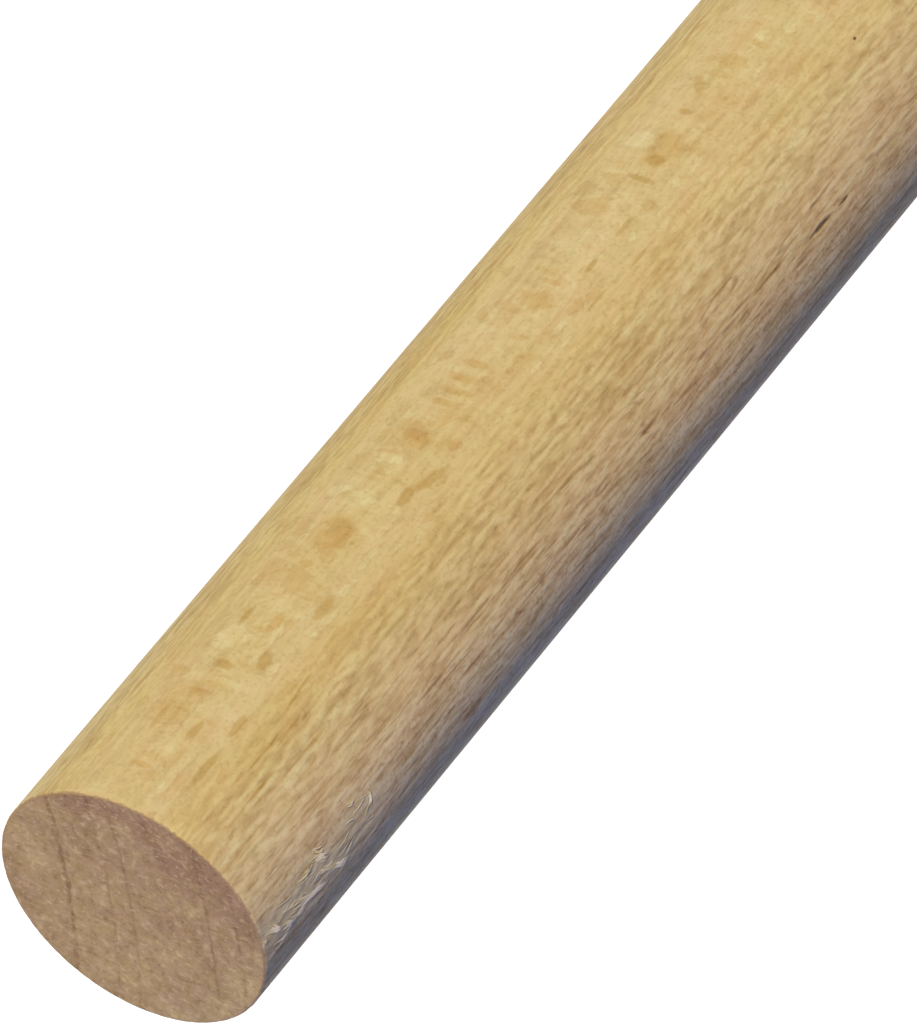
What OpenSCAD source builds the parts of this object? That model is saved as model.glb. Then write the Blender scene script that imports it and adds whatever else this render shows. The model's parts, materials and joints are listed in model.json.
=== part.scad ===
// Wooden dowel rod: a round beech stick, moulded to size along the grain and
// sawn across it at both ends. It stands on its square end at z = 0, with its
// axis on Z. The upper saw cut is a little out of square, and the grain is torn
// out in a short strip that runs down from that cut.
// Angles round the rod are counted from +X towards +Y.

/* [Rod] */
// Diameter of the rod
rod_d = 25; // [18:0.5:40]
// Length on the axis, from the square end to the sawn end
rod_l = 300; // [150:5:400]

/* [Ends] */
// Width of the eased edge round both ends
arris = 0.2; // [0.1:0.05:0.6]
// Tilt of the upper saw cut, down towards -X
saw_skew = 1.7; // [0:0.1:3]

/* [Torn grain] */
// Place of the torn strip round the rod
torn_at = 218; // [180:1:250]
// Length of the torn strip, down from the sawn end
torn_l = 19; // [12:0.5:30]
// Number of furrows side by side in the strip
furrow_count = 4; // [1:1:5]
// Distance between neighbouring furrows, along the surface
furrow_pitch = 1.15; // [1:0.05:2]
// Length of one furrow
furrow_l = 11; // [6:0.5:12]
// Width of one furrow where it is deepest
furrow_w = 0.9; // [0.4:0.05:0.95]
// Depth of one furrow
furrow_depth = 0.24; // [0.1:0.02:0.4]

/* [Pit] */
// Place of the pit round the rod
pit_at = 232; // [180:1:250]
// Distance from the sawn end to the middle of the pit
pit_from_end = 90; // [40:1:140]
// Length of the pit along the grain
pit_l = 2.6; // [1.6:0.1:5]
// Width of the pit
pit_w = 0.5; // [0.3:0.05:0.9]
// Depth of the pit
pit_depth = 0.22; // [0.1:0.02:0.4]

/* [Hidden] */
$fn = 180;
rod_r = rod_d / 2;
// How far a cutting shape reaches past the surface that it cuts
past = 2;

// Radius of the arc that spans a chord and rises by height in its middle
function arc_radius(chord, height) = (chord * chord / 4 + height * height) / (2 * height);

// Degrees round the rod that a distance along its surface takes
function degrees_round(distance) = distance / rod_r * 180 / PI;

// The moulded stick, with its lower edge eased and its upper end not yet sawn
module stick() {
    rotate_extrude()
        polygon([
            [0, 0],
            [rod_r - arris, 0],
            [rod_r, arris],
            [rod_r, rod_l + past],
            [0, rod_l + past]
        ]);
}

// All that lies below the upper saw cut, with the edge of the cut eased too. It
// is turned about the point where the cut crosses the axis of the rod.
module below_saw_cut() {
    foot_r = rod_r + 2 * past + rod_l * sin(saw_skew);
    translate([0, 0, rod_l])
        rotate([0, -saw_skew, 0])
            rotate_extrude()
                polygon([
                    [0, 0],
                    [rod_r - arris, 0],
                    [rod_r + 2 * past, -arris - 2 * past],
                    [foot_r, -rod_l - past],
                    [0, -rod_l - past]
                ]);
}

// A groove along the grain that runs out to nothing at both ends, with its
// middle at height 0: the outermost part of a ring in a plane through the axis
module groove(length, width, depth) {
    run_r = arc_radius(length, depth);
    section_r = arc_radius(width, depth);
    translate([rod_r - depth + run_r, 0, 0])
        rotate([90, 0, 0])
            rotate_extrude()
                translate([run_r - section_r, 0])
                    circle(r = section_r);
}

// Furrows side by side. By turns, one runs out through the saw cut and the next
// one reaches down to the far end of the strip.
module torn_grain() {
    upper = furrow_l / 4;
    lower = torn_l - furrow_l / 2;
    for (i = [0 : furrow_count - 1]) {
        across = (i - (furrow_count - 1) / 2) * furrow_pitch;
        from_end = i % 2 == 0 ? upper : lower;
        rotate(torn_at + degrees_round(across))
            translate([0, 0, rod_l - from_end])
                groove(furrow_l, furrow_w, furrow_depth);
    }
}

// The short dark slit that a lost bit of grain has left
module pit() {
    rotate(pit_at)
        translate([0, 0, rod_l - pit_from_end])
            groove(pit_l, pit_w, pit_depth);
}

module dowel_rod() {
    color("burlywood")
        difference() {
            intersection() {
                stick();
                below_saw_cut();
            }
            torn_grain();
            pit();
        }
}

dowel_rod();
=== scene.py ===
"""A beech dowel rod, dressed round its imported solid.

The rod stands on its square end, with its axis on Z. Angles round it are counted
from +X towards +Y. Names that end in _mm hold millimetres, and all other lengths
are metres.
"""

import json
import math

import bpy
import numpy as np
from mathutils import Matrix, Vector


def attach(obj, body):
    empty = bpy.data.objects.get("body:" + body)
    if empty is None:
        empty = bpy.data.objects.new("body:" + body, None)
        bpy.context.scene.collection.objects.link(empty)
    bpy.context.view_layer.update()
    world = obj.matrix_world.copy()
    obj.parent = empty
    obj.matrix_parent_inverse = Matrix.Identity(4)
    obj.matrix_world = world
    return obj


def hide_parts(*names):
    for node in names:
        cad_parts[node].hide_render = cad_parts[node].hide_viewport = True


bl_info = {
    "name": "Beech dowel rod",
    "version": (1, 0, 0),
    "blender": (4, 5, 0),
    "location": "3D View > Sidebar > Dowel",
    "description": "Makes a moulded beech rod with a sawn end and torn grain, and a plain studio",
    "category": "Add Mesh",
}

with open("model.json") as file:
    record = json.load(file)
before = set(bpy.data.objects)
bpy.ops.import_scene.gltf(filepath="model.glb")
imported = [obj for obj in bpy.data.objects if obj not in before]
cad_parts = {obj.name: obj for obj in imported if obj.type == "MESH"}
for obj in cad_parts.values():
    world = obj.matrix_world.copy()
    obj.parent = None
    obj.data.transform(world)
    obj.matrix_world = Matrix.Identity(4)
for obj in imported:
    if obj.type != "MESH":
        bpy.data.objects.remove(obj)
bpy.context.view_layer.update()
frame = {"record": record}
MOUNTS = {mount["name"]: mount for mount in frame["record"]["mounts"]}
# The skin lies a hair inside the solid, so that its pores and fuzz stay within it
SKIN_MM = 0.02
ROD_R_MM = MOUNTS["rod"]["dims"]["r_mm"] - SKIN_MM / 2
SAW_CENTRE = Vector(MOUNTS["sawn_end"]["pos_m"])
SAW_NORMAL = Vector(MOUNTS["sawn_end"]["axis"])
ROD_L_MM = 1000 * SAW_CENTRE.z - SKIN_MM
# How much the sawn end falls for each millimetre towards +X and towards +Y
SAW_FALL = (SAW_NORMAL.x / SAW_NORMAL.z, SAW_NORMAL.y / SAW_NORMAL.z)

BODY = "root"
ROD_NODE = "dowel_rod"
# The rod's zones, and the corners of a quad as steps along and round a tube
SIDE, SAWN, SQUARE = 0, 1, 2
CORNERS = ((0, 0), (1, 0), (1, 1), (0, 1))
# Where the mesh is fine: down to this depth below the rim, this far to both sides of
# the pit, and between these angles from the torn strip, in radians
RIM_ROWS_MM = 0.7
PIT_REACH_MM = 1.8
TORN_ANGLES = (-0.32, 0.34)
# Width at the rim in which the sawn face follows the side
RIM_BLEND_MM = 1.2

# The tree: which way it grew outwards, how far off its pith lay, how much its stem and
# its fibres bend, and the ends of its years, each with its place outwards from the
# rod's axis in mm and its strength
GROWTH_TOWARDS = math.radians(212.2)
PITH_MM = 87.0
RING_SPAN_MM = 28.0
STRAIGHT_L_MM = 60
BEND_OUT_MM = 2.4
BEND_ROUND_MM = 2.0
WEAVE_MM = 0.3
RING_ENDS = (
    (-9.6, 0.35), (-5.95, 1.0), (-1.9, 0.6), (0.08, 0.65), (3.9, 0.35), (7.6, 0.65), (10.3, 0.65),
)

# Single marks: angle in degrees, depth below the saw cut, half width, half length in
# mm, and how far each mm of depth moves it sideways
AMBER_MARKS = (
    (304.5, 34.2, 1.75, 2.2, 0), (305, 30.2, 0.6, 0.5, 0), (306, 47.4, 1.5, 1.1, 0.5),
    (304, 51.3, 1.4, 0.4, 0), (303.5, 52.9, 1.4, 0.45, 0), (304, 54.5, 1.5, 0.5, 0),
    (305, 56.4, 1.2, 0.4, 0), (302, 65.2, 1.4, 1.2, 0), (303, 67.6, 1.1, 0.3, 0),
    (302.5, 85.6, 1.4, 2.1, 0), (304, 97.6, 1.2, 0.9, 0), (300, 100.5, 1.2, 0.4, 0),
    (298.5, 23.3, 0.4, 1.3, 0), (311.5, 10, 0.3, 1.6, 0), (309, 94, 0.5, 1.0, 0.4),
    (304, 4.7, 0.9, 0.3, 0), (304, 13.9, 1.1, 0.3, 0),
)
FLECK_MARKS = (
    (282.7, 6.9, 0.35, 2.1, 0), (295.5, 9.8, 0.35, 1.1, 0), (283.6, 12.2, 0.3, 1.4, 0),
    (304.5, 17.3, 0.9, 0.5, 0), (292, 19.2, 0.45, 1.1, 0.1), (311, 23.1, 0.3, 1.1, 0),
    (287.3, 26.6, 0.5, 1.4, 0), (291, 40.5, 0.45, 1.1, 0), (287.5, 43.5, 0.45, 1.9, -0.25),
    (301.5, 81.7, 1.1, 0.35, 0), (302, 84.2, 0.8, 0.7, 0), (305.5, 90.5, 0.6, 0.35, 0),
    (293.5, 76.2, 0.24, 1.2, 0), (293.5, 70.8, 0.25, 0.9, 0), (269.9, 11.5, 0.14, 2.2, 0),
    (267.8, 14.8, 0.14, 1.8, 0.05), (258.3, 16, 0.15, 1.6, 0), (274.5, 18.3, 0.14, 1.8, 0.08),
    (262.5, 8.5, 0.13, 2.0, 0), (283, 68, 0.14, 1.6, 0), (281, 74, 0.14, 1.4, 0),
)
PALE_MARKS = (
    (303, 25.5, 1.5, 1.6, 0), (301.5, 39.2, 1.8, 2.2, 0), (304, 43, 1.2, 0.9, 0),
    (303, 49.4, 1.4, 0.7, 0), (303, 89, 1.2, 0.8, 0), (303, 72, 1.6, 2.2, 0),
    (304, 78, 1.6, 1.8, 0),
)
LINT_MARKS = (
    (217.7, 0.3, 0.25, 0.25, 0), (218, 1.9, 0.28, 1.0, -0.69), (213.3, 3.7, 0.22, 1.0, -0.47),
    (214.2, 7.1, 0.3, 2.5, -0.1), (212.4, 11.3, 0.35, 1.3, -0.37), (216.5, 10.1, 0.2, 1.1, -0.31),
    (224.4, 7.5, 0.22, 0.6, -0.11), (225, 9.6, 0.22, 1.1, -0.45), (222.6, 9.2, 0.35, 0.9, 0.27),
    (230.1, 14.8, 0.2, 0.4, -0.33), (224.2, 17.1, 0.5, 0.2, 0),
)
LINE_MARKS = (
    (235.3, 28.5, 0.13, 2.2, 0), (238.6, 42.4, 0.13, 3.4, -0.05), (229, 48, 0.13, 2.2, 0),
    (246.9, 51.7, 0.13, 1.2, -0.04), (245.6, 54.4, 0.12, 1.2, -0.12), (214.6, 51.2, 0.13, 2.2, -0.12),
    (226, 26, 0.12, 1.8, 0), (227, 33.5, 0.12, 2.2, 0), (230.8, 68.6, 0.13, 2.4, -0.1),
    (236.3, 72.2, 0.13, 1.7, 0), (234.3, 62.5, 0.12, 1.0, 0), (235.5, 75.6, 0.13, 1.4, 0),
    (237.6, 77.6, 0.12, 1.4, 0), (236, 81.8, 0.13, 1.8, 0), (228.5, 86.2, 0.13, 1.1, 0),
    (241.5, 92, 0.11, 2.4, 0.05), (223, 92.4, 0.13, 1.9, 0), (248.5, 77, 0.12, 1.4, 0),
    (225.2, 101, 0.14, 0.9, -0.1), (221, 96, 0.13, 1.0, 0), (236.5, 51.7, 0.12, 0.8, 0),
    (229.3, 55.5, 0.13, 1.7, 0), (240.8, 36, 0.12, 2.0, 0),
)
# Slits, with the pit among them, which take painted shade: a dark tint in place of the shade inside them
SLIT_MARKS = ((231.6, 93.9, 0.13, 0.6, 0), (271.3, 106, 0.12, 0.16, 0), (232.2, 90.2, 0.24, 1.4, 0))

# Patterns in the wood: width, depth and length of a cell in mm, how many finer sizes
# are laid over it, their strength, and a shift that sets the pattern apart
DRIFT = (7, 7, 60, 2, 0.5, 5.0)
HUES = (2.2, 2.2, 5, 2, 0.6, 17.0)
STREAKS = (0.9, 0.9, 25, 3, 0.6, 1.0)
DASHES = (0.5, 0.5, 5.5, 0, 0.5, 11.0)
PORES = (0.38, 0.38, 1.4, 0, 0.5, 2.0)
SPECKS = (0.34, 0.34, 0.42, 1, 0.5, 15.0)
LINES = (0.95, 0.95, 9, 1, 0.5, 12.0)
LINE_BREAKS = (1.1, 1.1, 4, 2, 0.6, 13.0)
BARS = (2.2, 1.8, 1.1, 1, 0.5, 14.0)
SHREDS = (0.4, 0.4, 1.8, 3, 0.65, 6.0)
RING_WANDER = (0.8, 1.6, 30)
RAY_WOBBLE = (1.1, 0.5, 0.8, 2, 0.6)
RAY_BREAKS = (0.8, 0.35, 9, 2, 0.6, 8.0)
MARK_EDGES = (0.7, 0.7, 1.3, 2, 0.6, 3.0)
FIBRE_TONES = (0.5, 0.5, 2.0)
FIBRE_THREADS = (0.08, 0.08, 1.2)
END_CELL_L_MM = 9
# A distance from a mark, counted in its halves, at which it no longer shows
FAR_OFF = 9.0

# Rays: a cell's size round the rings, along the rod and outwards, the ranges of their
# half widths and half heights, all in mm, and a shift
SMALL_RAYS = ((0.9, 2.8, 8), (0.05, 0.09), (0.5, 1.4), 4.0)
LARGE_RAYS = ((0.9, 4.0, 15), (0.05, 0.16), (0.5, 1.9), 9.0)
END_RAYS = ((0.6, 4.0, 2.6), (0.05, 0.11), (1.2, 3.0), 2.0)

# Wear of the surface: width and length of its cells in mm, and its seed
RAGGED_EDGE = (0.5, 2.2, 11)
EDGE_DRIFT = (4, 1, 12)
FURROW_WANDER = (2.5, 1, 13)
RIDGES = (0.22, 3.1, 14)
FUZZY_RIDGES = (0.35, 1.1, 15)
RIM_NICKS = (0.35, 1, 16)
BLADE_WANDER = (6, 6, 21)
FUZZ = (0.3, 0.3, 22)
COARSE_FUZZ = (0.6, 0.6, 23)
# Heights and sizes of that wear, and where the middle of the saw blade lay
FRAY_MM = 0.004
RIM_FRAY_MM = 0.05
STROKE_MM = 0.006
STROKE_PITCH_MM = 1.1
BLADE_AT_MM = (-95, 60)
FUZZ_MM = 0.014

# Depths and heights of the patterns
PORE_MM = STREAK_MM = 0.012
DASH_MM = 0.009
RAY_MM = 0.004
LINE_MM = 0.005
SLIT_MM = 0.05
SHRED_MM = 0.006
END_PORE_MM = 0.008
END_FUZZ_MM = 0.007

# Lamps: name, angle round the rod and height in degrees, strength, colour, softness
LAMPS = (
    ("key", 292, 35, 1.11, (1.0, 0.95, 0.79), 8),
    ("side_fill", 28, 12, 0.50, (0.66, 0.80, 1.0), 50),
    ("cool_fill", 200, 10, 0.62, (0.11, 0.24, 1.0), 40),
    ("back_fill", 100, 14, 0.50, (1.0, 0.98, 0.94), 15),
)
FLOOR_HALF_MM = 40000
FLOOR_DROP_MM = -0.05
FLOOR_LINES = 9

# How far round the rod the lit side of a loose fibre is turned, how thick a fibre is
# for its width, and the share of its length at each tip
FIBRE_TURN = math.radians(26)
FIBRE_FLATNESS = 0.2
TIP_SHARE = 0.06

# Bundles of loose fibres: count, angle in degrees, depth below the cut, spread of both
# in mm, length, lean in degrees, turn along the length in degrees, and lift in mm
BUNDLES = (
    (14, 217.5, 0.50, 0.07, 0.08, 0.5, 0, 10, 0.05),
    (12, 218.0, 1.9, 0.14, 0.40, 2.2, -34, 15, 0.03),
    (10, 213.3, 3.7, 0.12, 0.40, 2.2, -25, 15, 0.03),
    (16, 214.3, 7.2, 0.16, 0.60, 4.2, -5, 20, 0.03),
    (10, 212.4, 11.3, 0.20, 0.40, 2.4, -20, 25, 0.05),
    (8, 216.5, 10.1, 0.14, 0.30, 2.2, -17, 20, 0.04),
    (10, 224.4, 7.5, 0.14, 0.14, 1.1, 10, 90, 0.08),
    (14, 224.4, 9.4, 0.24, 0.35, 1.9, -22, 40, 0.08),
    (14, 223.9, 17.1, 0.20, 0.12, 1.2, 62, 90, 0.09),
    (7, 230.1, 14.9, 0.12, 0.15, 1.0, -18, 90, 0.12),
    (12, 216.5, 6.0, 0.70, 2.20, 2.6, 0, 40, 0.04),
)


# Numbers on arrays


def eased(share):
    """0 to 1 with level ends: three squares less two cubes of the share."""
    share = np.clip(share, 0, 1)
    return share * share * (3 - 2 * share)


def smooth_noise(across, along, seed):
    """Heights from -1 to 1 set at random on the corners of unit cells, and joined
    by eased steps along each side of a cell."""
    size = 256
    lattice = np.random.default_rng(seed).uniform(-1, 1, (size, size))
    column, row = np.floor(across).astype(int), np.floor(along).astype(int)
    u, v = eased(across - column), eased(along - row)
    low, top = (
        lattice[column % size, side % size] * (1 - u) + lattice[(column + 1) % size, side % size] * u
        for side in (row, row + 1)
    )
    return low * (1 - v) + top * v


def worn(pattern, across, along):
    """The noise of a kind of wear, at places in mm."""
    width, length, seed = pattern
    return smooth_noise(across / width, along / length, seed)


def stretches(*parts):
    """Places one after the other: each part is its start, its end and its steps."""
    return np.concatenate([np.linspace(a, b, n, endpoint=False) for a, b, n in parts])


def arc_radius(chord, height):
    """The radius of the arc that spans a chord and rises by height in its middle."""
    return (chord * chord / 4 + height * height) / (2 * height)


# What a user may change


def number(name, description, default, **more):
    return bpy.props.FloatProperty(name=name, description=description, default=default, **more)


def angle_of(name, description, degrees):
    return number(name, description, math.radians(degrees), subtype="ANGLE")


def colour(name, description, value):
    return bpy.props.FloatVectorProperty(
        name=name, description=description, default=value, subtype="COLOR", min=0, soft_max=1
    )


class RodShape(bpy.types.PropertyGroup):
    """Sizes of the rod's edges and of the marks that tools have left on it"""

    arris_mm: number("Arris", "Width of the eased edge round both ends, in mm", 0.2, min=0.1, max=0.6)
    torn_at: angle_of("Torn strip", "Place of the torn strip round the rod", 218)
    torn_l_mm: number("Torn length", "Length of the torn strip, in mm", 19, min=12, max=30)
    torn_w_mm: number("Torn width", "Width of the torn strip, in mm", 3.6, min=2, max=8)
    furrow_count: bpy.props.IntProperty(
        name="Furrows", description="Furrows side by side in the torn strip", default=4, min=1, max=5
    )
    furrow_pitch_mm: number("Furrow pitch", "Distance between neighbouring furrows, in mm", 1.15)
    furrow_l_mm: number("Furrow length", "Length of one furrow, in mm", 11)
    furrow_w_mm: number("Furrow width", "Width of one furrow where it is deepest, in mm", 0.9)
    furrow_depth_mm: number("Furrow depth", "Depth of one furrow under its loose fibres, in mm", 0.02)
    pit_at: angle_of("Pit", "Place of the pit round the rod", 232)
    pit_from_end_mm: number("Pit from end", "Distance from the sawn end to the pit, in mm", 90)
    pit_l_mm: number("Pit length", "Length of the pit, in mm", 2.6)
    pit_w_mm: number("Pit width", "Width of the pit, in mm", 0.3)
    pit_depth_mm: number("Pit depth", "Depth of the pit, in mm", 0.07)


class BeechColours(bpy.types.PropertyGroup):
    """Colours of the beech. A tint multiplies the colour under it"""

    ground: colour("Ground", "The moulded side", (0.73, 0.54, 0.24))
    ground_warm: colour("Warm ground", "The side where its tone drifts", (0.70, 0.50, 0.20))
    olive_tint: colour("Olive", "Tint of the greener patches", (0.985, 1.0, 0.975))
    blush_tint: colour("Blush", "Tint of the redder patches", (1.012, 0.998, 1.012))
    flat_tint: colour("Flat tint", "Tint where the cutter met the rings flat", (1.18, 1.09, 1.09))
    late_tint: colour("Late wood", "Tint of the wood that grows late in a year", (0.86, 0.74, 0.64))
    pore_tint: colour("Pores", "Tint of the fine pores", (0.80, 0.74, 0.66))
    line_tint: colour("Fine lines", "Tint of long fine lines in the grain", (0.60, 0.50, 0.45))
    dash_tint: colour("Ray ends", "Tint of a ray seen from its end", (0.73, 0.63, 0.58))
    flattest_tint: colour("Flattest tint", "Tint where the rings lie level", (0.95, 0.95, 0.96))
    quarter_tint: colour("Quarter tint", "Tint where the rays show broadside", (1.0, 1.055, 1.29))
    # Painted shade: the dark tint that stands in for the shade inside the slits and the pit
    slit_shade_tint: colour("Slits", "Tint of dark slits", (0.24, 0.19, 0.17))
    amber_tint: colour("Amber fleck", "Tint of a dark ray seen broadside", (0.92, 0.83, 0.71))
    fleck_tint: colour("Dark fleck", "Tint of a narrow dark ray seen broadside", (0.835, 0.755, 0.60))
    pale_tint: colour("Pale fleck", "Tint of a pale ray seen broadside", (1.10, 1.23, 1.36))
    end_grain: colour("End grain", "The two ends", (0.475, 0.320, 0.19))
    # The dark end grain also gives the painted shade on the arris of the side
    end_grain_dark: colour("Dark end grain", "The ends where their tone drifts", (0.39, 0.248, 0.150))
    end_ray: colour("End rays", "Rays and bright fibres on the ends", (0.72, 0.53, 0.33))
    end_stain: colour("End stain", "Tint of the stained part of the ends", (0.80, 0.73, 0.83))
    end_olive: colour("End olive", "Tint of the greener parts of the ends", (0.96, 0.97, 0.84))
    end_line: colour("End lines", "Tint of ring lines and dark specks", (0.60, 0.52, 0.47))
    lint: colour("Lint", "Torn fibres that lie flat", (0.99, 0.75, 0.35))
    frayed: colour("Frayed wood", "Loose fibres", (0.95, 0.78, 0.54))
    frayed_dark: colour("Dark frayed wood", "Torn fibres in shadow", (0.70, 0.54, 0.27))


class FibreShape(bpy.types.PropertyGroup):
    """Loose fibres that stand out of the torn strip"""

    count: bpy.props.IntProperty(
        name="Strays", description="Fibres scattered over the torn strip", default=26, min=0, max=400
    )
    half_width_mm: number("Half width", "Half the width of a fibre, in mm", 0.065, min=0.01, max=0.2)
    length_mm: number("Length", "Length of a stray fibre, in mm", 1.9, min=0.5, max=8)
    lift_mm: number("Lift", "How far a stray fibre rises from the wood, in mm", 0.16, min=0, max=0.5)
    tilt: angle_of("Tilt", "How far a fibre's flat side turns round the rod", 8)
    seed: bpy.props.IntProperty(name="Seed", description="Chooses another scatter of fibres", default=5)


class StudioSet(bpy.types.PropertyGroup):
    """Place of the camera and strength of the lamps"""

    elevation: angle_of("Elevation", "Angle at which the camera looks down", 35.18)
    roll: angle_of("Roll", "Turn of the camera about its line of sight", -140.14)
    reach: number(
        "Reach", "Distance from the camera to the sawn end, along the line of sight", 1.1031, unit="LENGTH"
    )
    lens: number("Lens", "Focal length for a picture 36 mm on its long side", 479.3, unit="CAMERA")
    end_right: number(
        "End, right", "How far right of the line of sight the sawn end lies", -0.02638, unit="LENGTH"
    )
    end_up: number(
        "End, up", "How far above the line of sight the sawn end lies", -0.03212, unit="LENGTH"
    )
    light: number("Light", "Share of every lamp's strength", 1, min=0, max=2)
    even_light: number("Even light", "Strength of the light from all sides", 0.01, min=0, max=1)
    floor_glow: number("Floor glow", "How much the floor glows where it is seen", 0.45, min=0, max=1)
    floor_bounce: number("Floor bounce", "Share of light that the floor throws back", 0.06, min=0, max=1)


# The rod's surface


def cut_height(x_mm, y_mm):
    """Height of the saw cut over a place: the plane through its centre, square to
    its normal."""
    return ROD_L_MM - SAW_FALL[0] * x_mm - SAW_FALL[1] * y_mm


def groove_depth(across, along, length, width, depth):
    """Depth of a groove that runs out at both ends: the deepest line sinks by an
    arc along the grain, and the section is a round one across it."""
    deepest = depth - along**2 / (2 * arc_radius(length, depth))
    return np.maximum(deepest - across**2 / (2 * arc_radius(width, depth)), 0)


def torn_envelope(shape, angle, from_end):
    """How torn the surface is, from 0 to 1: full in the middle of the strip, and
    gone at its ragged edges."""
    across = (angle - shape.torn_at) * ROD_R_MM
    ragged = 1.3 * worn(RAGGED_EDGE, across, from_end)
    side = 1 - np.abs(across + 0.5 * worn(EDGE_DRIFT, from_end, 0 * across)) / (shape.torn_w_mm / 2)
    end = (shape.torn_l_mm - from_end) / 6
    return eased(1.6 * np.minimum(side * 1.6, end) + 0.6 * ragged * (side > -0.3))


def relief(shape, angle, from_end):
    """How far the side stands out from its cylinder, in mm: furrows and frayed
    ridges in the torn strip, the pit, and a rim that the saw has frayed."""
    across = (angle - shape.torn_at) * ROD_R_MM
    sunk = np.zeros_like(angle)
    for i in range(shape.furrow_count):
        place = (i - (shape.furrow_count - 1) / 2) * shape.furrow_pitch_mm
        middle = shape.furrow_l_mm / 4 if i % 2 == 0 else shape.torn_l_mm - shape.furrow_l_mm / 2
        wander = 0.12 * worn(FURROW_WANDER, from_end, 0 * angle + i)
        furrow = groove_depth(
            across - place + wander, from_end - middle,
            shape.furrow_l_mm, shape.furrow_w_mm, shape.furrow_depth_mm,
        )
        sunk = np.maximum(sunk, furrow)
    torn = torn_envelope(shape, angle, from_end)
    ridges = 1 - np.abs(worn(RIDGES, across, from_end))
    fuzzy = worn(FUZZY_RIDGES, across, from_end)
    frayed = torn * (FRAY_MM * (ridges - 0.8) + FRAY_MM * fuzzy)
    pit = groove_depth(
        (angle - shape.pit_at) * ROD_R_MM, from_end - shape.pit_from_end_mm,
        shape.pit_l_mm, shape.pit_w_mm, shape.pit_depth_mm,
    )
    nicks = np.maximum(worn(RIM_NICKS, angle * ROD_R_MM, 0 * angle), 0)
    rim = RIM_FRAY_MM * nicks * eased(1 - from_end / 0.5)
    return frayed - sunk - pit - rim


def sawn_relief(x_mm, y_mm):
    """How far the sawn end stands out, in mm: the sine of the distance from the
    middle of a large saw blade, and the fuzz of cut fibres."""
    blade = np.hypot(x_mm - BLADE_AT_MM[0], y_mm - BLADE_AT_MM[1])
    strokes = np.sin(blade * 2 * np.pi / STROKE_PITCH_MM + 0.8 * worn(BLADE_WANDER, x_mm, y_mm))
    fuzz = worn(FUZZ, x_mm, y_mm) + 0.7 * worn(COARSE_FUZZ, x_mm, y_mm)
    return STROKE_MM * strokes + FUZZ_MM * fuzz


def rod_rows(shape):
    """The profile of the rod from the middle of the sawn end to the middle of the
    square end. Each row has a radius, a distance from the sawn end, and its zone:
    a flat end, a quarter round for the arris, the side, and the same again."""
    edge, pit = shape.arris_mm, shape.pit_from_end_mm
    torn_end = shape.torn_l_mm + 1
    side = stretches(
        (edge, RIM_ROWS_MM, 3), (RIM_ROWS_MM, torn_end, 96), (torn_end, pit - PIT_REACH_MM, 24),
        (pit - PIT_REACH_MM, pit + PIT_REACH_MM, 18), (pit + PIT_REACH_MM, ROD_L_MM - 2, 48),
        (ROD_L_MM - 2, ROD_L_MM - edge, 3),
    )
    turn = np.radians([22.5, 45, 67.5])
    back = turn[::-1]
    flat_r = ROD_R_MM - edge
    parts = (
        (flat_r * np.append(stretches((0, 1, 34))[1:], 1), 0, SAWN),
        (flat_r + edge * np.sin(turn), edge * (1 - np.cos(turn)), SIDE),
        (ROD_R_MM, np.append(side, ROD_L_MM - edge), SIDE),
        (flat_r + edge * np.sin(back), ROD_L_MM - edge * (1 - np.cos(back)), SIDE),
        (flat_r * stretches((1, 0, 9)), ROD_L_MM, SQUARE),
    )
    return np.concatenate([np.stack(np.broadcast_arrays(*part), -1) for part in parts]).T


def rod_angles(shape):
    """Angles round the rod, close together where the grain is torn. The seam of
    the map lies at the back."""
    seam = math.pi / 2
    low, high = shape.torn_at + TORN_ANGLES[0], shape.torn_at + TORN_ANGLES[1]
    return stretches((seam, low, 84), (low, high, 112), (high, seam + 2 * math.pi, 164))


def rod_surface(shape):
    """Points of the rod as rows by angles by three, in mm, with the torn share of
    each. A point lies at its radius plus the relief, and its height is the cut's
    height over it, less its share of the way down."""
    radius, from_end, zone = rod_rows(shape)
    angle = rod_angles(shape)[None, :] + 0 * radius[:, None]
    radius, from_end = radius[:, None] + 0 * angle, from_end[:, None] + 0 * angle
    on_side = zone[:, None] == SIDE
    out = np.where(on_side, relief(shape, angle, from_end), 0)
    # The rim of the sawn face follows the grooves that run out through it
    near_rim = eased((radius - ROD_R_MM + RIM_BLEND_MM) / RIM_BLEND_MM) * (zone[:, None] == SAWN)
    out = out + near_rim * relief(shape, angle, 0 * from_end + shape.arris_mm)
    x, y = (radius + out) * np.cos(angle), (radius + out) * np.sin(angle)
    z = cut_height(x, y) * (1 - from_end / ROD_L_MM)
    sawn = np.where(zone[:, None] == SAWN, sawn_relief(x, y), 0)
    inwards = np.clip(1.15 - radius / ROD_R_MM, 0, 1)
    z = z + sawn * (1 - np.exp(-8 * inwards))
    torn = np.where(zone[:, None] == SQUARE, 0, torn_envelope(shape, angle, from_end))
    return np.stack([x, y, z], -1), torn, zone


def rod_map(points, zone, shape):
    """Where each row and angle lies on the piece's own map, for a place on the side
    and on an end. The side fills a wide column, with its angles across and its length
    up, and the two ends lie one over the other in a narrow column beside it."""
    margin = 0.006
    side_share = 0.74
    turn = np.append(rod_angles(shape), rod_angles(shape)[0] + 2 * math.pi)
    turn = (turn - turn[0]) / (2 * math.pi)
    along = 1 - points[:, :1, 2] / points[:, :1, 2].max()
    across = margin + turn[None, :] * (side_share - 2 * margin)
    side = np.stack([across + 0 * along, margin + along * (1 - 2 * margin) + 0 * across], -1)
    wrapped = np.concatenate([points, points[:, :1]], 1)[:, :, :2]
    disc = (1 - side_share - margin) / 2
    middle_x = side_share + disc
    flat = wrapped / ROD_R_MM * (disc - margin) + (middle_x, 0)
    sawn, square = flat + (0, 1 - disc - margin), flat + (0, disc + margin)
    zone = zone[:, None, None]
    return side, np.where(zone == SAWN, sawn, square)


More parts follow.
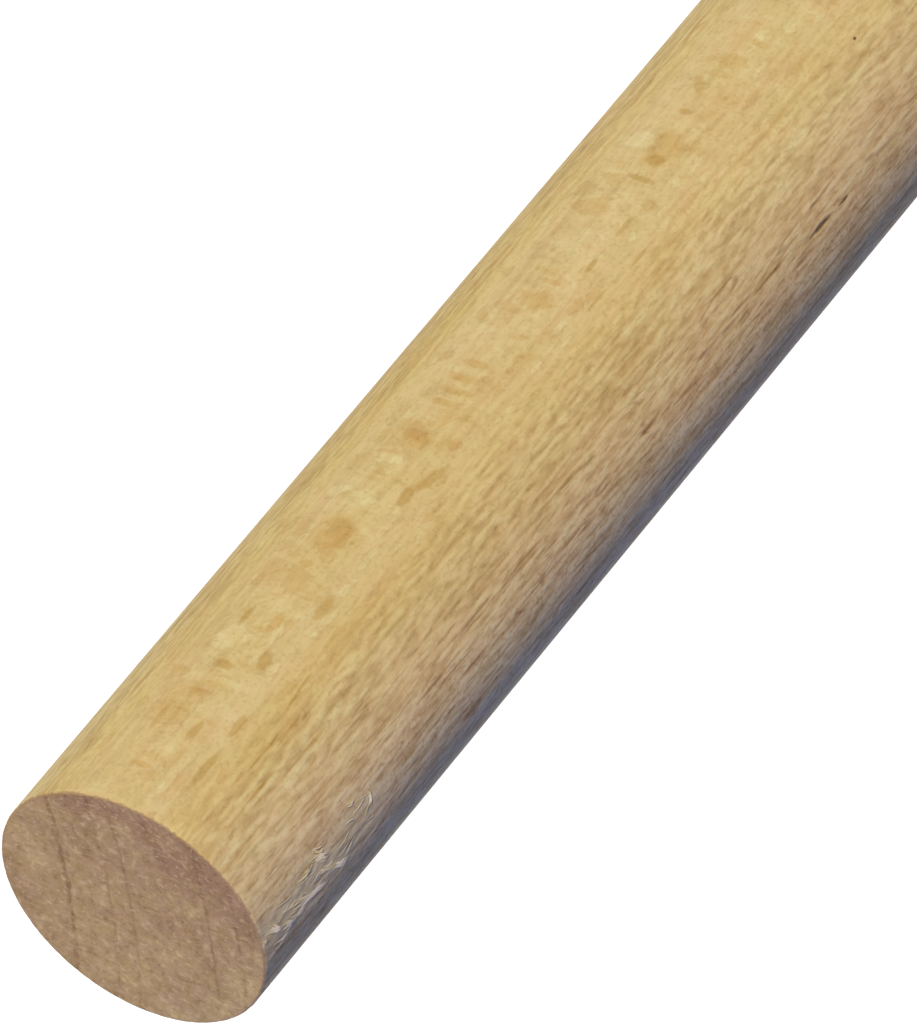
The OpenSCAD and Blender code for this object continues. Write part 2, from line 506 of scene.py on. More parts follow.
def tube_faces(count, steps, sides):
    """Corners of the faces of closed tubes: quads between the steps, and a fan over
    each end. The middles of the ends come after all other points, two for each tube."""
    tube, step, side = np.meshgrid(*map(np.arange, (count, steps - 1, sides)), indexing="ij")
    quads = np.stack([(tube * steps + step + i) * sides + (side + j) % sides for i, j in CORNERS], -1)
    faces = quads.reshape(-1, 4).tolist()
    tube, side = tube[:, 0], side[:, 0]
    for end in (0, 1):
        ring = (tube * steps + end * (steps - 1)) * sides
        middle = count * steps * sides + 2 * tube + end
        fan = np.stack([middle, ring + (side + end) % sides, ring + (side + 1 - end) % sides], -1)
        faces += fan.reshape(-1, 3).tolist()
    return faces


def mesh_of(name, vertices, faces, corner_uv=None, material_of_face=None):
    """A mesh and its object at the origin, in metres, from points in mm."""
    mesh = bpy.data.meshes.new(name)
    mesh.from_pydata((np.asarray(vertices) * 0.001).tolist(), [], faces)
    if corner_uv is not None:
        layer = mesh.uv_layers.new(name="OFBake")
        layer.uv.foreach_set("vector", np.asarray(corner_uv, np.float32).ravel())
    if material_of_face is not None:
        mesh.polygons.foreach_set("material_index", np.asarray(material_of_face, np.int32))
    mesh.polygons.foreach_set("use_smooth", np.ones(len(mesh.polygons), bool))
    mesh.update()
    thing = bpy.data.objects.new(name, mesh)
    bpy.context.scene.collection.objects.link(thing)
    return thing


def rod_object(shape):
    """The rod as one closed mesh."""
    points, torn, zone = rod_surface(shape)
    side_map, end_map = rod_map(points, zone, shape)
    rows, columns = points.shape[:2]
    middles = np.array([[0, 0, cut_height(0, 0)], [0, 0, 0]])
    vertices = np.concatenate([points.reshape(-1, 3), middles])
    row, column = np.meshgrid(np.arange(rows - 1), np.arange(columns), indexing="ij")
    quad_zone = np.where(zone[1:] == zone[:-1], zone[1:], SIDE)[:, None] + 0 * column
    on_side = quad_zone[..., None] == SIDE
    uv = [np.stack([
        np.where(on_side, side_map[row + i, column + j], end_map[row + i, column + j])
        for i, j in CORNERS
    ], 2).reshape(-1, 2)]
    ring = np.arange(columns)
    for end, rim in enumerate(end_map[[0, -1]]):
        middle = rim[ring].mean(0) + 0 * rim[ring]
        uv.append(np.stack([middle, rim[ring + end], rim[ring + 1 - end]], 1).reshape(-1, 2))
    zones = np.concatenate([quad_zone.ravel(), 0 * ring + SAWN, 0 * ring + SQUARE])
    faces = tube_faces(1, rows, columns)
    # Both ends share the second finish
    rod = mesh_of("beech_rod", vertices, faces, np.concatenate(uv), np.minimum(zones, SAWN))
    share = rod.data.attributes.new("torn", "FLOAT", "POINT")
    share.data.foreach_set("value", np.append(torn.ravel(), [0, 0]).astype(np.float32))
    return rod


# Loose fibres


def fibre_table(shape, fibres):
    """One row for each fibre: arc and depth of its middle in mm, length, half width,
    lean, turn, lift, and a phase. Bundles come first and strays after them."""
    chance = np.random.default_rng(fibres.seed)
    rows = []
    for count, angle, down, spread_w, spread_l, length, lean, turn, lift in BUNDLES:
        rows.append(np.stack([
            math.radians(angle) * ROD_R_MM + spread_w * chance.normal(size=count),
            down + spread_l * chance.normal(size=count) * 0.6,
            length * chance.uniform(0.6, 1.15, count),
            fibres.half_width_mm * chance.uniform(0.6, 1.3, count),
            np.radians(lean + 10 * chance.normal(size=count)),
            np.radians(turn * chance.uniform(0.5, 1.1, count)),
            lift * chance.uniform(0.5, 1.0, count),
            chance.uniform(0, 2 * np.pi, count),
        ], 1))
    n = fibres.count
    down = shape.torn_l_mm * chance.uniform(0.02, 0.95, n)
    # The strays spread over a third of the strip, which leans a little
    arc = shape.torn_at * ROD_R_MM + shape.torn_w_mm * 0.34 * chance.normal(size=n) + 0.09 * (down - 9)
    rows.append(np.stack([
        arc,
        down,
        fibres.length_mm * chance.uniform(0.4, 1.5, n),
        fibres.half_width_mm * chance.uniform(0.5, 1.0, n),
        np.radians(9 * chance.normal(size=n)),
        np.radians(40 * chance.normal(size=n)),
        fibres.lift_mm * chance.uniform(0.2, 1.0, n),
        chance.uniform(0, 2 * np.pi, n),
    ], 1))
    return np.concatenate(rows)


def fibre_tubes(shape, fibres, steps=18, sides=6):
    """Points of all fibres as fibres by steps by sides by three. A fibre's heading
    turns evenly along its length, so its middle line is an arc on the unrolled side,
    with a slow wave. It rises as the square of the way to its free end, and its
    flat oval section tapers to both ends."""
    arc, down, length, half_w, lean, turn, lift, phase = fibre_table(shape, fibres).T[:, :, None]
    way = np.linspace(0, 1, steps)[None, :]
    heading = lean + turn * (way - 0.5) + 0.25 * np.sin(5 * way + phase)
    step = length / (steps - 1)
    across, along = np.cumsum(np.sin(heading) * step, 1), np.cumsum(np.cos(heading) * step, 1)
    arc = arc + across - across[:, steps // 2, None]
    down = down + along - along[:, steps // 2, None]
    down = np.maximum(down, 0.12 + 0.1 * np.abs(np.sin(phase)))
    angle = arc / ROD_R_MM
    free = np.where(np.sin(phase) > 0, way, 1 - way)
    rise = lift * (free**2 + 0.25 * np.sin(np.pi * way)) + 0.015
    radius = ROD_R_MM + relief(shape, angle, down) + rise
    x, y = radius * np.cos(angle), radius * np.sin(angle)
    middle = np.stack([x, y, cut_height(x, y) - down], -1)
    tangent = np.gradient(middle, axis=1)
    tangent /= np.linalg.norm(tangent, axis=-1, keepdims=True)
    outward = np.stack([np.cos(angle), np.sin(angle), 0 * angle], -1)
    sideways = np.cross(tangent, outward)
    sideways /= np.linalg.norm(sideways, axis=-1, keepdims=True)
    round_rod = np.stack([-np.sin(angle), np.cos(angle), 0 * angle], -1)
    tilt = -fibres.tilt * (sideways * round_rod).sum(-1, keepdims=True)
    sideways, outward = (
        np.cos(tilt) * sideways + np.sin(tilt) * outward,
        np.cos(tilt) * outward - np.sin(tilt) * sideways,
    )
    inner = TIP_SHARE + (1 - 2 * TIP_SHARE) * way
    taper = np.maximum(np.sin(np.pi * inner), 2 * TIP_SHARE) ** 0.7 * half_w
    turn_round = np.linspace(0, 2 * np.pi, sides, endpoint=False)
    cosine, sine = np.cos(turn_round)[:, None], np.sin(turn_round)[:, None]
    taper = taper[:, :, None, None]
    section = cosine * sideways[:, :, None] + FIBRE_FLATNESS * sine * outward[:, :, None]
    return middle[:, :, None] + taper * section


def fibres_object(shape, fibres):
    """All fibres as one mesh. On the map each fibre is a narrow upright strip."""
    points = fibre_tubes(shape, fibres)
    count, steps, sides = points.shape[:3]
    vertices = np.concatenate([points.reshape(-1, 3), points[:, [0, -1]].mean(2).reshape(-1, 3)])

    def strip(one, side, step):
        """Across the map by fibre and side, and up it by step."""
        across = (one + TIP_SHARE + (1 - 2 * TIP_SHARE) * side / sides) / count
        return np.stack([across, 0.02 + 0.96 * step / (steps - 1) + 0 * across], -1)

    one, step, side = np.meshgrid(*map(np.arange, (count, steps - 1, sides)), indexing="ij")
    uv = [np.stack([strip(one, side + j, step + i) for i, j in CORNERS], -2).reshape(-1, 2)]
    one, side = one[:, 0], side[:, 0]
    for end, last, tip in ((0, 0, -0.3), (1, steps - 1, steps - 0.7)):
        uv.append(np.stack([
            strip(one, side + 0.5, tip), strip(one, side + end, last), strip(one, side + 1 - end, last),
        ], -2).reshape(-1, 2))
    return mesh_of("torn_fibres", vertices, tube_faces(count, steps, sides), np.concatenate(uv))


# Numbers and nodes of a finish


class Wire:
    """A socket that carries what a node gives to other nodes. The operators add Math
    nodes, so they are for numbers. Colours and vectors go through Nodes.add."""

    def __init__(self, nodes, socket):
        self.nodes, self.socket = nodes, socket

    def out(self, name):
        return Wire(self.nodes, self.socket.node.outputs[name])

    def __add__(self, other):
        return self.nodes.math("ADD", self, other)

    def __sub__(self, other):
        return self.nodes.math("SUBTRACT", self, other)

    def __rsub__(self, other):
        return self.nodes.math("SUBTRACT", other, self)

    def __mul__(self, other):
        return self.nodes.math("MULTIPLY", self, other)

    def __truediv__(self, other):
        return self.nodes.math("DIVIDE", self, other)

    def __pow__(self, other):
        return self.nodes.math("POWER", self, other)

    def __abs__(self):
        return self.nodes.math("ABSOLUTE", self)

    __rmul__ = __mul__


class Nodes:
    """The nodes of one finish or world. All of them come from add."""

    def __init__(self, tree):
        self.tree = tree
        tree.nodes.clear()

    def add(self, kind, settings, inputs, output=0):
        """A node of a kind. Its settings come first, then the values or links of its
        sockets. The stops of a ramp are pairs of a place and a grey value."""
        node = self.tree.nodes.new(kind)
        for name, value in settings.items():
            if name == "stops":
                self.place_stops(node.color_ramp, value)
            else:
                setattr(node, name, value)
        for name, value in inputs.items():
            if isinstance(value, Wire):
                self.tree.links.new(value.socket, node.inputs[name])
            else:
                node.inputs[name].default_value = value
        return Wire(self, node.outputs[output]) if len(node.outputs) else None

    @staticmethod
    def place_stops(ramp, stops):
        """Moves the ramp's first two stops, and adds the rest."""
        for i, (place, grey) in enumerate(stops):
            stop = ramp.elements[i] if i < 2 else ramp.elements.new(place)
            stop.position = place
            stop.color = (grey, grey, grey, 1)

    def math(self, operation, *values):
        return self.add("ShaderNodeMath", {"operation": operation}, dict(enumerate(values)))

    def vector(self, x, y, z):
        return self.add("ShaderNodeCombineXYZ", {}, {"X": x, "Y": y, "Z": z})

    def parts(self, vector):
        """The three numbers of a vector or a colour."""
        split = self.add("ShaderNodeSeparateXYZ", {}, {"Vector": vector})
        return split, split.out("Y"), split.out("Z")

    def vector_math(self, operation, first, second):
        return self.add("ShaderNodeVectorMath", {"operation": operation}, {0: first, 1: second})

    def noise(self, x, y, z, detail=2.0, roughness=0.5):
        """Soft noise about 0, which seldom leaves -0.5 to 0.5, on cells of unit size."""
        settings = {"noise_dimensions": "3D"}
        inputs = {"Vector": self.vector(x, y, z), "Scale": 1.0, "Detail": detail, "Roughness": roughness}
        return (self.add("ShaderNodeTexNoise", settings, inputs) - 0.5) * 2

    def smooth(self, value, low, high):
        """0 at low, 1 at high and an eased step between them, whichever is greater."""
        settings = {"interpolation_type": "SMOOTHSTEP"}
        return self.add("ShaderNodeMapRange", settings, {"Value": value, 1: low, 2: high, 3: 0.0, 4: 1.0})

    def mix(self, share, first, second, blend="MIX"):
        """One colour into another. With MULTIPLY the second is a tint."""
        settings = {"data_type": "RGBA", "blend_type": blend}
        return self.add("ShaderNodeMix", settings, {0: share, 6: colour4(first), 7: colour4(second)}, 2)

    def tinted(self, colour, *layers):
        """A colour under tints, one over the other, each with its share."""
        for share, tint in layers:
            colour = self.mix(share, colour, tint, "MULTIPLY")
        return colour


def colour4(colour):
    """A colour with the fourth number that a socket needs, or the wire as it is."""
    return colour if isinstance(colour, Wire) else (*colour[:3], 1.0)


class Grain:
    """Places in the wood, in mm, as numbers of a finish. The pith lies far out on one
    side, so a ring is a wide arc: a is the distance out from the pith, counted from
    the rod's axis, and b runs round the ring. down is the depth below the saw cut,
    and arc is the place round the rod."""

    def __init__(self, nodes):
        self.nodes = nodes
        at = nodes.add("ShaderNodeTexCoord", {}, {}, "Object")
        at = nodes.vector_math("MULTIPLY", at, (1000, 1000, 1000))
        self.x, self.y, self.z = nodes.parts(at)
        self.down = ROD_L_MM - SAW_FALL[0] * self.x - SAW_FALL[1] * self.y - self.z
        out = math.cos(GROWTH_TOWARDS), math.sin(GROWTH_TOWARDS)
        along_out = self.x * out[0] + self.y * out[1]
        along_ring = self.y * out[0] - self.x * out[1]
        # The stem bends slowly, and more so away from the sawn end
        away = nodes.math("MINIMUM", self.down / STRAIGHT_L_MM, 1.0)
        bend_a = nodes.noise(self.x / 34, self.y / 34, self.z / 120, 1) * away * BEND_OUT_MM
        bend_b = nodes.noise(self.y / 30, self.x / 30, self.z / 90 + 7, 1) * away * BEND_ROUND_MM
        from_pith = nodes.math("SQRT", (along_out + PITH_MM) ** 2 + along_ring**2)
        self.a = from_pith - PITH_MM + bend_a
        self.b = along_ring * PITH_MM / (along_out + PITH_MM) + bend_b
        # 1 where the surface shows the rays broadside, 0 where it shows their ends
        radius = nodes.math("SQRT", self.x * self.x + self.y * self.y + 0.01)
        self.broadside = abs(along_ring) / radius
        self.arc = nodes.math("ARCTAN2", self.x, 0 - self.y) * ROD_R_MM
        # Fibres weave a little between the rays
        weave = nodes.noise(self.x / 2.6, self.y / 2.6, self.z / 12, 2) * WEAVE_MM
        self.woven_a, self.woven_b = self.a + weave, self.b - weave

    def noise(self, a, b, z, detail=2.0, roughness=0.5, shift=0.0):
        """Noise whose cells are a and b mm across the grain, and z mm along it."""
        return self.nodes.noise(self.woven_a / a + shift, self.woven_b / b, self.z / z, detail, roughness)

    def end_noise(self, width, shift=0.0, detail=2.0, roughness=0.5):
        """Noise for the ends, on cells of a width in mm."""
        along = self.z / END_CELL_L_MM + shift
        return self.nodes.noise(self.x / width, self.y / width, along, detail, roughness)

    def rays(self, cell, half_w, half_h, shift):
        """Rays are thin blades that run out from the pith. Each cell of a Voronoi
        pattern holds one. Gives the distance from its middle, where 1 is its edge,
        and three numbers by chance for each blade."""
        nodes = self.nodes
        wobble = self.noise(*RAY_WOBBLE, shift) * 0.16
        place = nodes.vector((self.b + wobble) / cell[0] + shift, self.z / cell[1], self.a / cell[2])
        cells = nodes.add("ShaderNodeTexVoronoi", {}, {"Vector": place, "Scale": 1.0, "Randomness": 1.0})
        chance = nodes.parts(cells.out("Color"))
        off_b, off_z, _ = nodes.parts(nodes.vector_math("SUBTRACT", place, cells.out("Position")))
        wide = chance[0] * (half_w[1] - half_w[0]) + half_w[0]
        tall = chance[1] * (half_h[1] - half_h[0]) + half_h[0]
        across, along = off_b * cell[0] / wide, off_z * cell[1] / tall
        return nodes.math("SQRT", across * across + along * along), chance

    def marks(self, places, ragged):
        """Marks of given places, as angle, depth below the cut, half width, half
        length and lean. Gives the distance from the nearest one, where 1 is its
        edge: the length of the way to its middle, divided by its two halves."""
        nodes = self.nodes
        nearest = FAR_OFF
        for angle, down, half_w, half_h, lean in places:
            along = self.down - down
            across = self.arc - math.radians(angle - 270) * ROD_R_MM - along * lean
            way = nodes.vector(across / half_w, along / half_h, 0.0)
            reach = nodes.vector_math("LENGTH", way, (0, 0, 0))
            nearest = nodes.math("MINIMUM", reach.out("Value"), nearest)
        return nearest + self.noise(*MARK_EDGES) * ragged


def ring_stops():
    """Stops of the ramp over a ring's width: the wood browns slowly towards the end
    of a year, and turns pale at once where the next year starts."""
    stops = [(0.0, 0.2)]
    for place, strength in RING_ENDS:
        share = (place + RING_SPAN_MM / 2) / RING_SPAN_MM
        stops += [(share - 0.022, 0.3 * strength), (share - 0.006, strength), (share + 0.008, 0.0)]
    return stops


def ring_tone(nodes, grain):
    """How late in its year the wood grew, from 0 to 1."""
    share = (grain.a + grain.noise(*RING_WANDER) * 0.35) / RING_SPAN_MM + 0.5
    return nodes.add("ShaderNodeValToRGB", {"stops": ring_stops()}, {"Fac": share})


def finish_nodes(name):
    material = bpy.data.materials.new(name)
    material.use_nodes = True
    return material, Nodes(material.node_tree)


def shade(nodes, colour, roughness, height_mm, specular, sheen=0.0, facing=None):
    """The shader of a finish, with a bump whose height is in mm. facing, where it is
    given, is the way the surface is taken to face."""
    relief_inputs = {"Strength": 1.0, "Distance": 0.001, "Height": height_mm}
    if facing is not None:
        relief_inputs["Normal"] = facing
    bump = nodes.add("ShaderNodeBump", {}, relief_inputs)
    inputs = {
        "Base Color": colour, "Roughness": roughness, "Specular IOR Level": specular,
        "Sheen Weight": sheen, "Normal": bump,
    }
    shader = nodes.add("ShaderNodeBsdfPrincipled", {}, inputs)
    nodes.add("ShaderNodeOutputMaterial", {}, {"Surface": shader})


def moulded_beech(colours):
    """The side: ground colour with drifting tone, rings, pores, two sizes of ray,
    single marks, and pale frayed wood where it is torn."""
    material, nodes = finish_nodes("moulded_beech")
    grain, smooth = Grain(nodes), nodes.smooth
    flat, flattest = smooth(grain.broadside, 0.85, 0.25), smooth(grain.broadside, 0.5, 0.1)
    face, band = smooth(grain.broadside, 0.8, 0.96), smooth(grain.broadside, 0.93, 0.99)
    quarter = smooth(grain.broadside, 0.88, 0.99)
    plain = 1 - smooth(grain.broadside, 0.8, 0.98) * 0.75
    drift, hue = smooth(grain.noise(*DRIFT), -0.35, 0.35), smooth(grain.noise(*HUES), -0.35, 0.35)
    streaks, dashes = grain.noise(*STREAKS), grain.noise(*DASHES)
    pores, specks = grain.noise(*PORES), grain.noise(*SPECKS)
    broken_line = smooth(grain.noise(*LINE_BREAKS), 0.0, 0.25)
    fine_line = smooth(abs(grain.noise(*LINES)), 0.1, 0.0) * broken_line * (flat * 0.45 + 0.35) * plain
    colour = nodes.tinted(
        nodes.mix(drift, colours.ground, colours.ground_warm),
        (1.0, nodes.mix(hue, colours.olive_tint, colours.blush_tint)),
        (flat, colours.flat_tint),
        (flattest, colours.flattest_tint),
        (quarter, colours.quarter_tint),
        (ring_tone(nodes, grain) * (flat * 0.25 + 0.25), colours.late_tint),
        (smooth(streaks, -0.1, 0.5) * (flat * 0.1 + 0.4), colours.late_tint),
        (smooth(dashes, 0.0, 0.42) * plain * 0.55, colours.pore_tint),
        (smooth(dashes, 0.0, -0.42) * plain * 0.32, colours.pale_tint),
        (smooth(pores, 0.0, 0.45) * plain * 0.55, colours.pore_tint),
        (smooth(pores, 0.0, -0.45) * plain * 0.4, colours.pale_tint),
        (smooth(specks, 0.0, 0.45) * (flattest * 0.6 + 0.45), colours.pore_tint),
        (smooth(dashes, 0.05, 0.4) * flattest * 0.35, colours.dash_tint),
        (fine_line, colours.line_tint),
    )

    small, _ = grain.rays(*SMALL_RAYS)
    large, chance = grain.rays(*LARGE_RAYS)
    small_ray, large_ray = smooth(small, 1.6, 0.4), smooth(large, 1.35, 0.6)
    outline = smooth(abs(large - 1.05), 0.35, 0.0)
    is_pale = nodes.math("GREATER_THAN", chance[2], 0.55)
    bars = grain.noise(*BARS)
    # Painted shade: the slits and the pit are tinted dark for the shade in their depth, and their real dents
    # stay shallow
    slit_and_shade = smooth(grain.marks(SLIT_MARKS, 0.6), 1.6, 0.5)
    colour = nodes.tinted(
        colour,
        (small_ray * (flat * 0.35 + 0.15), colours.line_tint),
        (large_ray * face * is_pale * 0.5, colours.pale_tint),
        (large_ray * face * (1 - is_pale) * 0.65, colours.amber_tint),
        (outline * face * 0.2, colours.dash_tint),
        (large_ray * (1 - face) * (flat * 0.1 + 0.25), colours.line_tint),
        (smooth(bars, 0.08, 0.5) * band * 0.65, colours.amber_tint),
        (smooth(bars, -0.05, -0.5) * band * 0.4, colours.pale_tint),
        (smooth(grain.marks(AMBER_MARKS, 0.5), 1.3, 0.7) * 0.85, colours.amber_tint),
        (smooth(grain.marks(FLECK_MARKS, 0.5), 1.35, 0.7) * 0.95, colours.fleck_tint),
        (smooth(grain.marks(PALE_MARKS, 0.7), 1.8, 0.2) * 0.28, colours.pale_tint),
        (smooth(grain.marks(LINE_MARKS, 0.7), 1.8, 0.4) * 0.75, colours.line_tint),
        (slit_and_shade * 0.95, colours.slit_shade_tint),
    )

    torn = nodes.add("ShaderNodeAttribute", {"attribute_name": "torn"}, {}, "Fac")
    shreds = grain.noise(*SHREDS)
    colour = nodes.mix(torn * 0.3, colour, colours.frayed_dark)
    colour = nodes.mix(torn * smooth(shreds, -0.15, 0.4) * 0.5, colour, colours.lint)
    colour = nodes.tinted(colour, (torn * smooth(shreds, -0.15, -0.45) * 0.5, colours.dash_tint))
    lint = smooth(grain.marks(LINT_MARKS, 0.8), 1.8, 0.1)
    colour = nodes.mix(lint * 0.7, colour, colours.lint)
    # Painted shade: the arris is darkened to the dark tone of the end, so that the key lamp's highlight on
    # the rounded edge does not show
    arris_painted_shade = smooth(grain.down + specks * 0.2, 0.22, 0.02)
    arris_shade_tone = nodes.tinted(colours.end_grain_dark, (specks + 0.5, colours.end_line))
    colour = nodes.mix(arris_painted_shade * 0.9, colour, arris_shade_tone)

    height = pores * -PORE_MM - dashes * DASH_MM - streaks * STREAK_MM
    height = height - (small_ray + large_ray) * RAY_MM - fine_line * LINE_MM
    height = height - slit_and_shade * SLIT_MM + torn * shreds * SHRED_MM
    roughness = pores * 0.05 + torn * 0.2 + 0.56
    shade(nodes, colour, roughness, height, specular=0.04, sheen=0.08)
    return material


def sawn_beech(colours):
    """Either end: sawn fibres, fine pores, rings as thin dark lines, rays as pale
    broken dashes, and a dark stain."""
    material, nodes = finish_nodes("sawn_beech")
    grain, smooth = Grain(nodes), nodes.smooth
    drift = smooth(nodes.noise(grain.x / 5, grain.y / 5, grain.z / 50, 2), -0.4, 0.4)
    stain = smooth(nodes.noise(grain.x / 4, grain.y / 4, 3.3, 2) * 5 - grain.y, 2.0, 11.0)
    hue, mottle = grain.end_noise(1.3, 4, 2, 0.6), grain.end_noise(0.9, 1, 2, 0.55)
    pores, specks = grain.end_noise(0.32, 0, 1), grain.end_noise(0.55, 5, 2, 0.6)
    broken = smooth(grain.end_noise(2.2), -0.45, 0.1)
    colour = nodes.tinted(
        nodes.mix(drift, colours.end_grain, colours.end_grain_dark),
        (stain, colours.end_stain),
        (smooth(grain.x, -3.0, -12.0) * 0.35, colours.pale_tint),
        (smooth(hue, -0.3, 0.3), colours.end_olive),
        (smooth(mottle, 0.0, 0.5) * 0.5, colours.end_line),
    )
    colour = nodes.mix(smooth(mottle, -0.05, -0.5) * 0.35, colour, colours.end_ray)
    colour = nodes.tinted(
        colour,
        (smooth(ring_tone(nodes, grain), 0.2, 0.9) * broken * 0.8, colours.end_line),
        (smooth(pores, -0.1, 0.5) * 0.27, colours.end_line),
        (smooth(specks, 0.1, 0.5) * 0.52, colours.end_line),
    )
    ray, _ = grain.rays(*END_RAYS)
    dashed = smooth(grain.noise(*RAY_BREAKS), 0.0, 0.3)
    colour = nodes.mix(smooth(ray, 1.5, 0.4) * dashed * 0.28, colour, colours.end_ray)
    bright = smooth(grain.end_noise(0.5, 9), 0.15, 0.5)
    colour = nodes.mix(bright * 0.34, colour, colours.end_ray)
    radius = nodes.math("SQRT", grain.x * grain.x + grain.y * grain.y)
    rim = smooth(radius, ROD_R_MM - 0.5, ROD_R_MM - 0.15)
    colour = nodes.tinted(colour, (rim * 0.12, colours.end_line))
    stroke = nodes.noise(grain.x / 1.4, grain.y / 0.3, grain.z / END_CELL_L_MM + 3, 2, 0.6)
    height = pores * -END_PORE_MM + specks * END_FUZZ_MM + stroke * END_FUZZ_MM
    shade(nodes, colour, pores * 0.06 + 0.82, height, specular=0.1)
    return material


def frayed_beech(colours):
    """Loose fibres: pale wood whose tone drifts, with finer threads along it."""
    material, nodes = finish_nodes("frayed_beech")
    grain, smooth = Grain(nodes), nodes.smooth
    tone = smooth(grain.noise(*FIBRE_TONES), -0.3, 0.3)
    thread = grain.noise(*FIBRE_THREADS)
    colour = nodes.mix(tone, colours.frayed, colours.frayed_dark)
    colour = nodes.tinted(colour, (smooth(thread, 0.0, 0.5) * 0.3, colours.pore_tint))
    # Light passes through a thin fibre, so it is lit as the wood under it, but turned
    # a little towards the lamp
    cosine, sine = math.cos(FIBRE_TURN), math.sin(FIBRE_TURN)
    facing = nodes.vector(grain.x * cosine - grain.y * sine, grain.x * sine + grain.y * cosine, 0.0)
    to_world = {"vector_type": "NORMAL", "convert_from": "OBJECT", "convert_to": "WORLD"}
    facing = nodes.add("ShaderNodeVectorTransform", to_world, {"Vector": facing})
    shade(nodes, colour, thread * 0.05 + 0.7, thread * 0.002, specular=0.1, facing=facing)
    return material


# Operators


class DOWEL_OT_rod(bpy.types.Operator):
    """Adds the rod, with its torn grain, in place of the plain solid"""

    bl_idname = "dowel.rod"
    bl_label = "Beech rod"

    def execute(self, context):
        rod = rod_object(context.scene.rod_shape)
        for finish in (moulded_beech, sawn_beech):
            rod.data.materials.append(finish(context.scene.beech_colours))
        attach(rod, BODY)
        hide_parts(ROD_NODE)
        return {"FINISHED"}


class DOWEL_OT_fibres(bpy.types.Operator):
    """Adds the loose fibres of the torn strip"""

    bl_idname = "dowel.fibres"
    bl_label = "Torn fibres"

    def execute(self, context):
        scene = context.scene
        fibres = fibres_object(scene.rod_shape, scene.fibre_shape)
        fibres.data.materials.append(frayed_beech(scene.beech_colours))
        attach(fibres, BODY)
        return {"FINISHED"}


def add_sun(name, angle, elevation, strength, colour, softness):
    """A sun lamp that shines from an angle round the rod and a height over it."""
    lamp = bpy.data.lights.new(name, "SUN")
    lamp.energy = strength * math.pi
    lamp.color = colour
    lamp.angle = math.radians(softness)
    sun = bpy.data.objects.new(name, lamp)
    angle, elevation = math.radians(angle), math.radians(elevation)
    level = math.cos(elevation)
    source = Vector((level * math.cos(angle), level * math.sin(angle), math.sin(elevation)))
    sun.rotation_mode = "QUATERNION"
    sun.rotation_quaternion = source.to_track_quat("Z", "Y")
    bpy.context.scene.collection.objects.link(sun)


def add_camera(studio):
    """A camera in front of the rod that looks down on the sawn end, turned about
    its line of sight."""
    camera = bpy.data.cameras.new("camera")
    camera.sensor_width = 36
    camera.lens = studio.lens
    camera.clip_start, camera.clip_end = 0.01, 100
    turn = Matrix.Rotation(math.pi / 2 - studio.elevation, 4, "X") @ Matrix.Rotation(studio.roll, 4, "Z")
    place = SAW_CENTRE - turn.to_3x3() @ Vector((studio.end_right, studio.end_up, -studio.reach))
    seen = bpy.data.objects.new("camera", camera)
    seen.matrix_world = Matrix.Translation(place) @ turn
    bpy.context.scene.collection.objects.link(seen)
    bpy.context.scene.camera = seen


def seen_directly(nodes):
    """1 for the camera and for what gloss and glass show, 0 for light that bounces."""
    path = nodes.add("ShaderNodeLightPath", {}, {})
    seen = nodes.math("MAXIMUM", path.out("Is Camera Ray"), path.out("Is Glossy Ray"))
    return nodes.math("MAXIMUM", seen, path.out("Is Transmission Ray"))


def add_floor(studio):
    """A wide level floor. It looks white, and it throws back little light."""
    line = np.linspace(-FLOOR_HALF_MM, FLOOR_HALF_MM, FLOOR_LINES)
    x, y = np.meshgrid(line, line, indexing="ij")
    first = np.arange(FLOOR_LINES - 1)
    corner = (first[:, None] * FLOOR_LINES + first).ravel()
    faces = np.stack([corner, corner + FLOOR_LINES, corner + FLOOR_LINES + 1, corner + 1], -1)
    vertices = np.stack([x.ravel(), y.ravel(), 0 * x.ravel() + FLOOR_DROP_MM], -1)
    floor = mesh_of("floor", vertices, faces.tolist())
    material, nodes = finish_nodes("white_floor")
    lit = nodes.add("ShaderNodeBsdfDiffuse", {}, {"Color": (0.9, 0.9, 0.9, 1)})
    glow = nodes.add("ShaderNodeEmission", {}, {"Color": (1, 1, 1, 1), "Strength": studio.floor_glow})
    bright = nodes.add("ShaderNodeAddShader", {}, {0: lit, 1: glow})
    grey = studio.floor_bounce
    dull = nodes.add("ShaderNodeBsdfDiffuse", {}, {"Color": (grey, grey, grey, 1)})
    both = nodes.add("ShaderNodeMixShader", {}, {0: seen_directly(nodes), 1: dull, 2: bright})
    nodes.add("ShaderNodeOutputMaterial", {}, {"Surface": both})
    floor.data.materials.append(material)


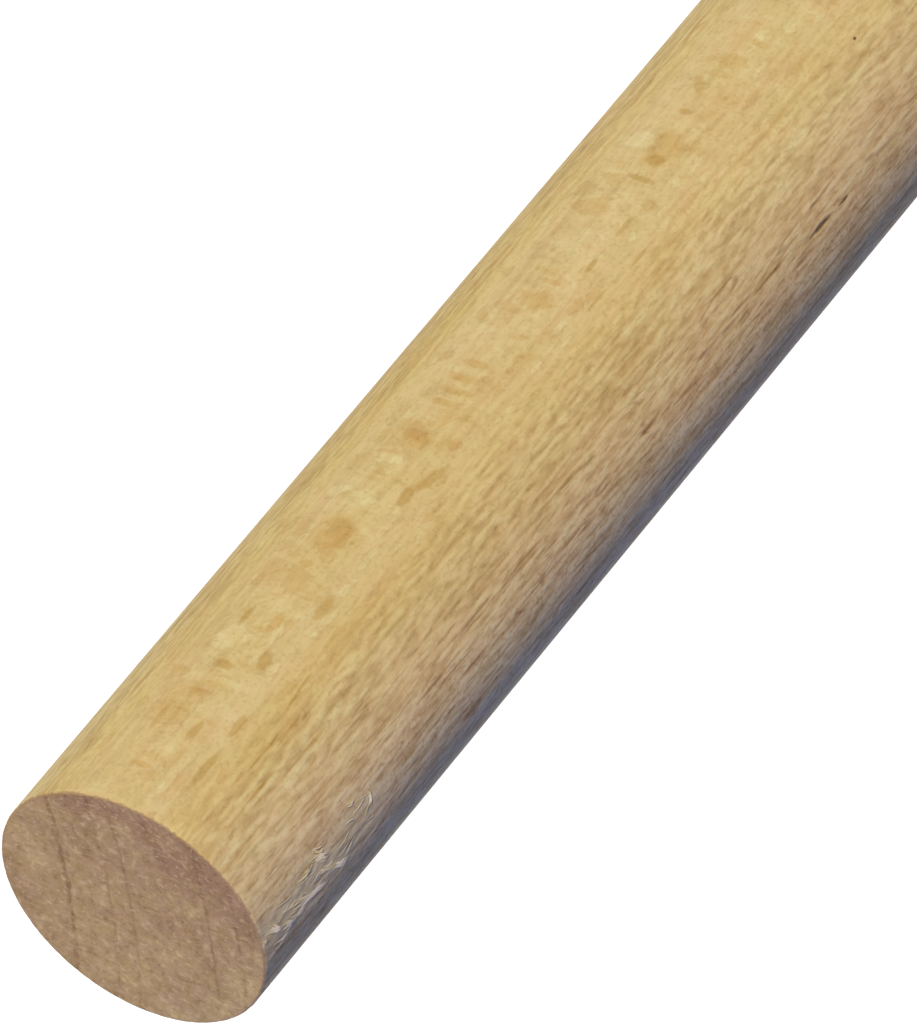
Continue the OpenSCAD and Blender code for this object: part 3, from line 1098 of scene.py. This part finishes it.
def add_world(studio):
    """A white background, and weak even light."""
    world = bpy.data.worlds.new("studio")
    world.use_nodes = True
    nodes = Nodes(world.node_tree)
    white = nodes.add("ShaderNodeBackground", {}, {"Color": (1, 1, 1, 1), "Strength": 1.0})
    weak = nodes.add("ShaderNodeBackground", {}, {"Color": (0.8, 0.88, 1, 1), "Strength": studio.even_light})
    both = nodes.add("ShaderNodeMixShader", {}, {0: seen_directly(nodes), 1: weak, 2: white})
    nodes.add("ShaderNodeOutputWorld", {}, {"Surface": both})
    bpy.context.scene.world = world


class DOWEL_OT_studio(bpy.types.Operator):
    """Adds the floor, the lamps, the world and the camera"""

    bl_idname = "dowel.studio"
    bl_label = "Plain studio"

    def execute(self, context):
        studio = context.scene.studio_set
        add_camera(studio)
        add_floor(studio)
        for name, angle, elevation, share, colour, softness in LAMPS:
            add_sun(name, angle, elevation, share * studio.light, colour, softness)
        add_world(studio)
        context.scene.view_settings.view_transform = "Standard"
        return {"FINISHED"}


class DOWEL_PT_sidebar(bpy.types.Panel):
    """Lists the pieces and the studio"""

    bl_idname = "DOWEL_PT_sidebar"
    bl_label = "Beech dowel rod"
    bl_space_type = "VIEW_3D"
    bl_region_type = "UI"
    bl_category = "Dowel"

    def draw(self, context):
        for operator, groups in PARTS:
            box = self.layout.box()
            box.operator(operator)
            for group in groups:
                settings = getattr(context.scene, group)
                for name in settings.bl_rna.properties.keys():
                    if name not in {"rna_type", "name"}:
                        box.prop(settings, name)


# Each operator, with the groups that it reads
PARTS = (
    ("dowel.rod", ("rod_shape", "beech_colours")),
    ("dowel.fibres", ("fibre_shape",)),
    ("dowel.studio", ("studio_set",)),
)
GROUPS = {
    "rod_shape": RodShape, "beech_colours": BeechColours, "fibre_shape": FibreShape, "studio_set": StudioSet,
}
CLASSES = (*GROUPS.values(), DOWEL_OT_rod, DOWEL_OT_fibres, DOWEL_OT_studio, DOWEL_PT_sidebar)


def register():
    for made in CLASSES:
        bpy.utils.register_class(made)
    for name, group in GROUPS.items():
        setattr(bpy.types.Scene, name, bpy.props.PointerProperty(type=group))


def unregister():
    for name in GROUPS:
        delattr(bpy.types.Scene, name)
    for made in reversed(CLASSES):
        bpy.utils.unregister_class(made)


def main():
    register()
    bpy.ops.dowel.rod()
    bpy.ops.dowel.fibres()
    bpy.ops.dowel.studio()


if __name__ == "__main__":
    main()
